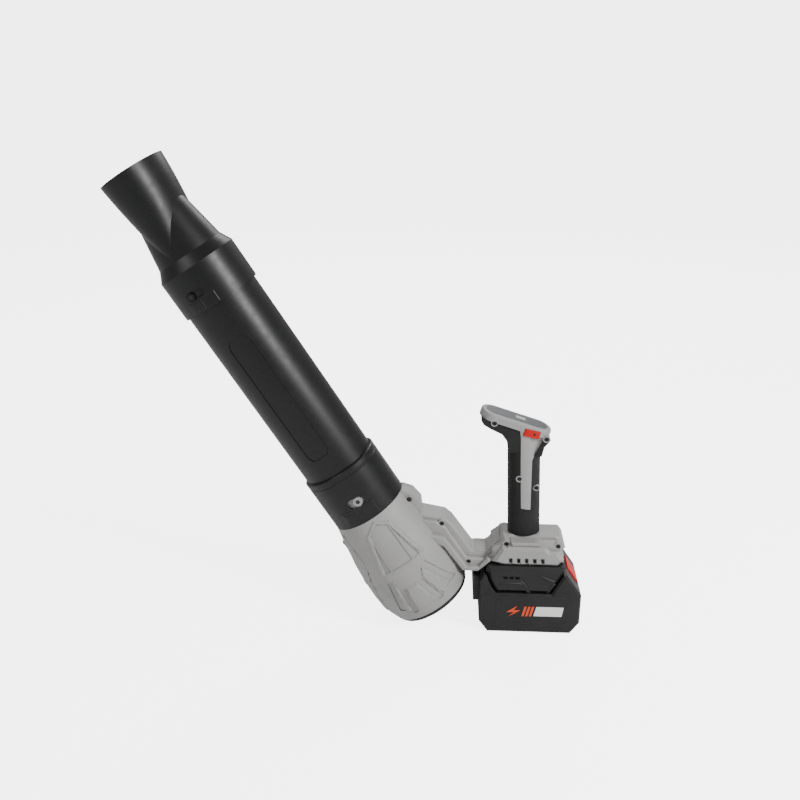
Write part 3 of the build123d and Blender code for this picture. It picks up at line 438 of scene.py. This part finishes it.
# %% Frame, broken line and facets
def ring_faces(outer, inner):
    """Quads between two loops of the same count."""
    count = len(outer)
    return [[outer[i], outer[(i + 1) % count], inner[(i + 1) % count], inner[i]] for i in range(count)]


def rounded_rectangle(x0, z0, x1, z1, radius, steps=4):
    """Corners of a rectangle with rounded corners, anticlockwise."""
    corners = ((x1 - radius, z1 - radius, 0), (x0 + radius, z1 - radius, 90),
               (x0 + radius, z0 + radius, 180), (x1 - radius, z0 + radius, 270))
    return [(cx + radius * cos(radians(a + 90 * k / steps)), cz + radius * sin(radians(a + 90 * k / steps)))
            for cx, cz, a in corners for k in range(steps + 1)]


case_wall = flat_host(37.5)
frame_line = ring_faces(rounded_rectangle(-38.5, 12.6, 41.5, 47.4, 5),
                        rounded_rectangle(-37.5, 13.6, 40.5, 46.4, 4.2))
moulding("battery_frame", frame_line, case_wall, 0.25, 0.28, "battery", "battery_black", pitch=WIDE_PITCH)
dashes = [[(x - 4.5, 48.3), (x + 4.5, 48.3), (x + 4.5, 49.3), (x - 4.5, 49.3)] for x in (-28, -8, 12, 31)]
moulding("battery_dashes", dashes, case_wall, 0.3, 0.25, "battery", "battery_black", pitch=WIDE_PITCH)
lid_wall = flat_host(35.9)
facets = [
    [(-33.5, 64.5), (-11.5, 64.5), (-9.0, 62.0), (-35.0, 62.0)],
    [(-11.5, 66.5), (-8.2, 65.6), (0.2, 52.4), (-4.4, 52.2)],
    [(17.5, 52.6), (21.0, 53.4), (28.0, 64.0), (24.0, 64.6)],
    [(9.0, 73.4), (12.5, 73.6), (27.0, 67.6), (23.5, 65.2)],
]
moulding("battery_facets", facets, lid_wall, 0.6, 0.7, "battery", "battery_black", pitch=WIDE_PITCH)

# %% [markdown]
# ## Floor, lamps and world
# A catalogue picture of a tool uses a pale sweep and soft lamps. One lamp at the front right does most of
# the work, a second at the left lights the tube's side, and a third lights the back. The
# floor and the world are bright only where the camera sees them directly, so they don't wash the tool out.

# %% The floor, the lamps and the world
FLOOR_GLOW = 4.2
WORLD_LIGHT, WORLD_SEEN = 0.42, 4.6
MIDDLE = (-0.17, 0.0, 0.25)


def sweep_floor():
    """A wide pale floor, part of the studio and not of the tool."""
    mesh = bpy.data.meshes.new("studio_floor")
    bm = bmesh.new()
    bmesh.ops.create_grid(bm, x_segments=1, y_segments=1, size=12)
    bm.to_mesh(mesh)
    bm.free()
    floor = bpy.data.objects.new("studio_floor", mesh)
    bpy.context.collection.objects.link(floor)
    floor.location.z = cad_low.z - 0.0005
    return floor


def lamp(name, place, target, size, power):
    """A round soft lamp that faces a point."""
    light = bpy.data.lights.new(name, "AREA")
    light.shape = "DISK"
    light.size = size
    light.energy = power
    stand = bpy.data.objects.new(name, light)
    bpy.context.collection.objects.link(stand)
    stand.location = place
    stand.rotation_euler = (Vector(target) - Vector(place)).to_track_quat("-Z", "Y").to_euler()
    return stand


floor = sweep_floor()
paper = finish("studio_sweep", (0.95, 0.95, 0.95), 0.9, 0.01, 60, 0.0001, 0.05)
paper_tree = paper.node_tree
paper_shader = paper_tree.nodes["Principled BSDF"]
paper_shader.inputs["Emission Color"].default_value = (1, 1, 1, 1)
glow = paper_tree.nodes.new("ShaderNodeMath")
glow.operation = "MULTIPLY"
glow.inputs[1].default_value = FLOOR_GLOW
link(paper_tree, paper_tree.nodes.new("ShaderNodeLightPath").outputs["Is Camera Ray"], glow.inputs[0])
link(paper_tree, glow.outputs[0], paper_shader.inputs["Emission Strength"])
floor.data.materials.append(paper)
lamps = [
    lamp("key_lamp", (1.3, -0.9, 1.3), MIDDLE, 0.5, 46),
    lamp("side_lamp", (-1.6, -1.2, 1.6), MIDDLE, 0.8, 12),
    lamp("back_lamp", (0.2, 1.7, 1.5), MIDDLE, 1.0, 16),
]
world = bpy.data.worlds.new("studio")
world.use_nodes = True
air = world.node_tree
sky, bright = air.nodes["Background"], air.nodes.new("ShaderNodeBackground")
for background, strength in ((sky, WORLD_LIGHT), (bright, WORLD_SEEN)):
    background.inputs["Color"].default_value = (1, 1, 1, 1)
    background.inputs["Strength"].default_value = strength
blend = air.nodes.new("ShaderNodeMixShader")
link(air, air.nodes.new("ShaderNodeLightPath").outputs["Is Camera Ray"], blend.inputs["Fac"])
link(air, sky.outputs["Background"], blend.inputs[1])
link(air, bright.outputs["Background"], blend.inputs[2])
link(air, blend.outputs["Shader"], air.nodes["World Output"].inputs["Surface"])
bpy.context.scene.world = world
print("lamps:", {stand.name: stand.data.energy for stand in lamps})

# %% [markdown]
# ## Camera
# The camera stands about a metre away, a little higher than the tool, and looks down on its left side.

# %% The camera
lens = bpy.data.cameras.new("catalogue_camera")
lens.lens = 40.5
lens.sensor_width = 36
camera = bpy.data.objects.new("catalogue_camera", lens)
bpy.context.collection.objects.link(camera)
camera.location = (-0.1008, -0.9140, 0.6095)
camera.rotation_euler = (radians(69.5), 0, radians(3.0))
bpy.context.scene.camera = camera
print("camera:", [round(v, 3) for v in camera.location], "lens:", lens.lens, "mm")
